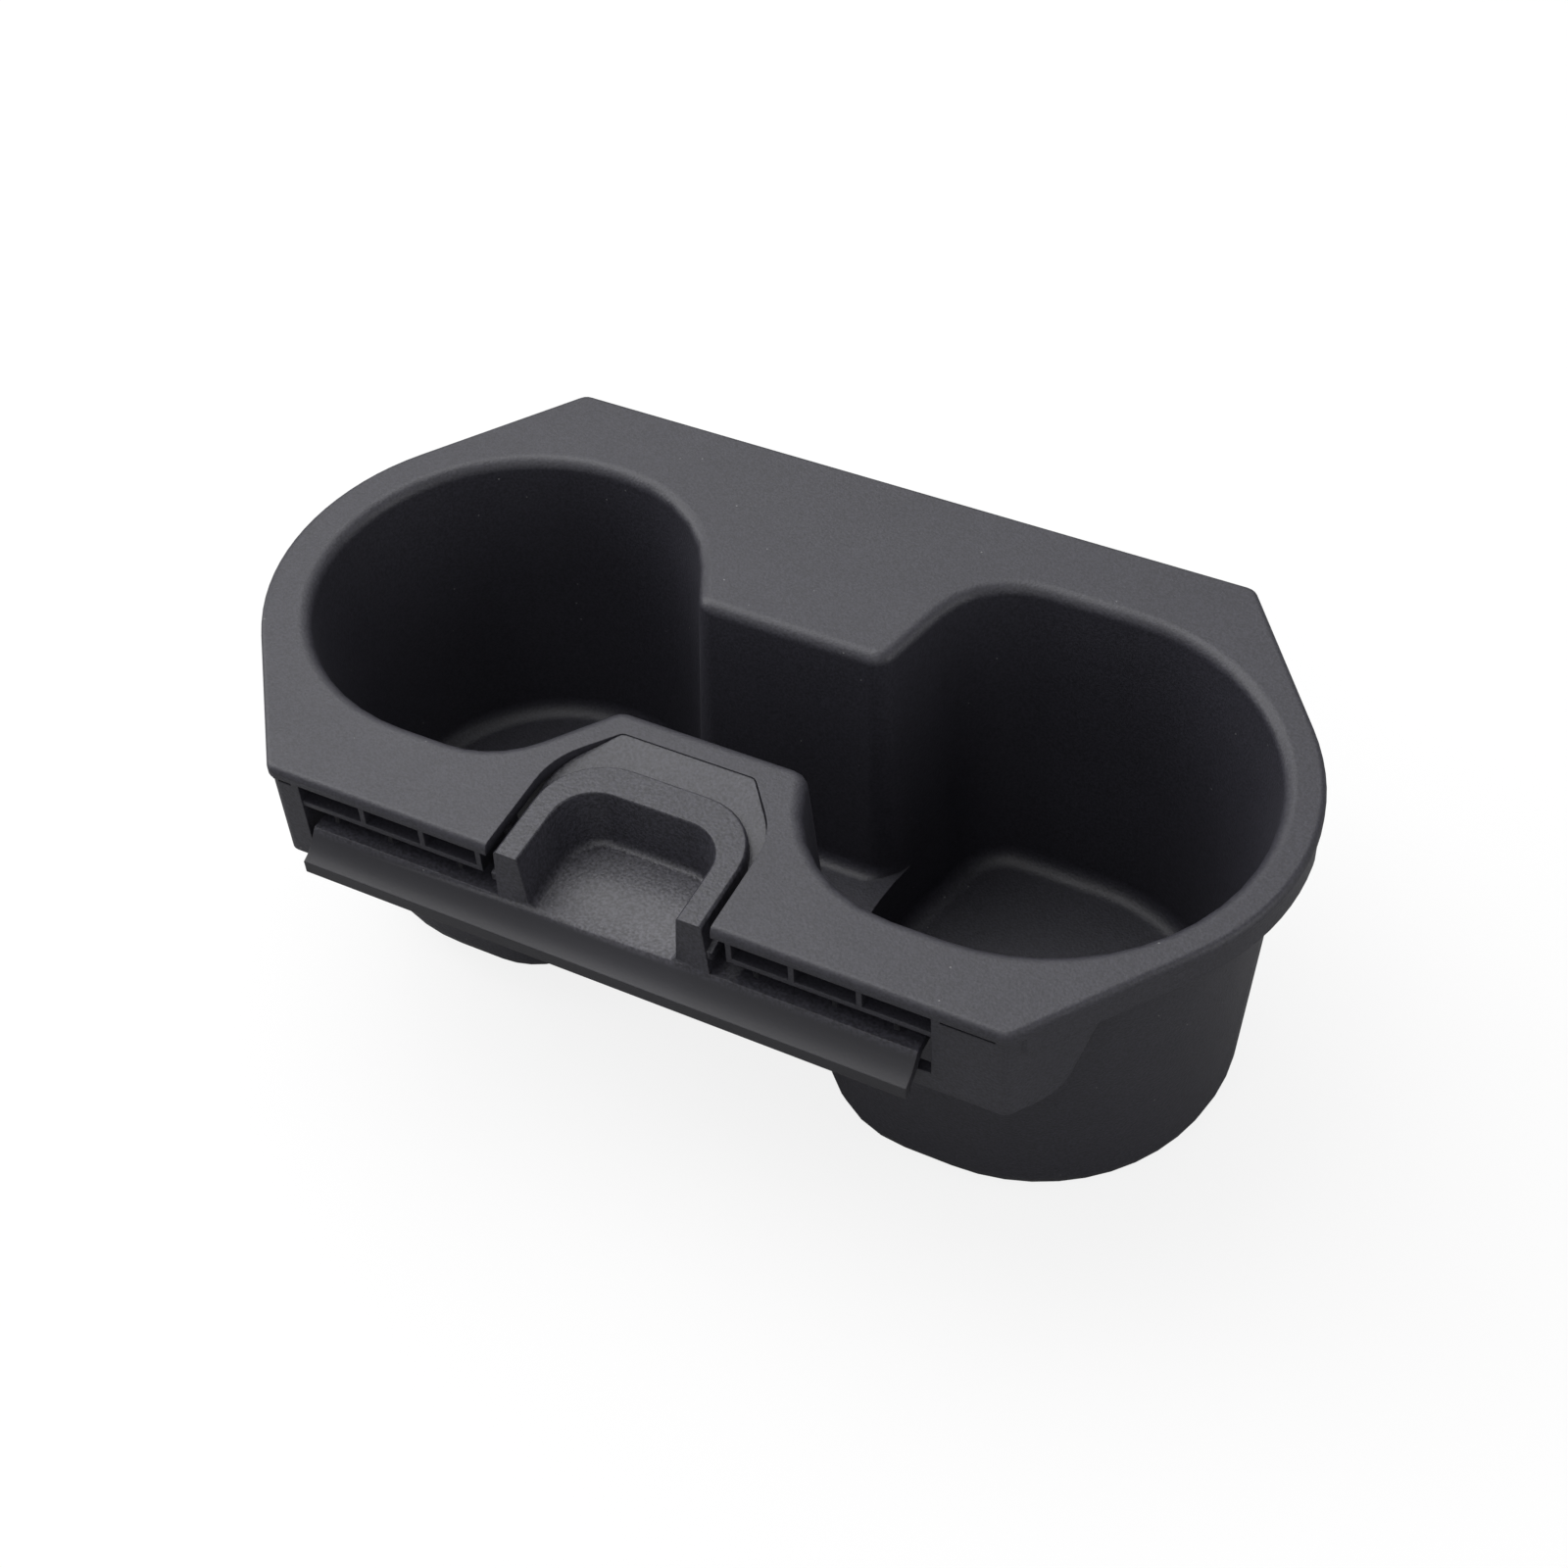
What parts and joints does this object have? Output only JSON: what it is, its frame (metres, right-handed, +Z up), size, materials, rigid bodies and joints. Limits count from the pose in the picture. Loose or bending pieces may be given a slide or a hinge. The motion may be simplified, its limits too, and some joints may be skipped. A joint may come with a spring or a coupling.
{
  "type": "car cup holder insert",
  "caption": "Drop-in console insert: a flat deck with two deep drink wells joined by a channel, and a finger bezel with a flared rail at the front.",
  "frame": {"origin": "middle of the bounding box at its lowest face, under the wells", "axes": "+X to the right along the deck, +Y to the back, away from the rail, +Z up out of the wells"},
  "size_m": [0.21, 0.1228, 0.0757],
  "materials": {
    "body_plastic": "fine grained, satin sheen",
    "bezel_plastic": "grained on the apron and tray, smoother on the rail"
  },
  "bodies": {
    "root": {"holder_body": "body_plastic", "finger_bezel": "bezel_plastic"}
  },
  "joints": []
}
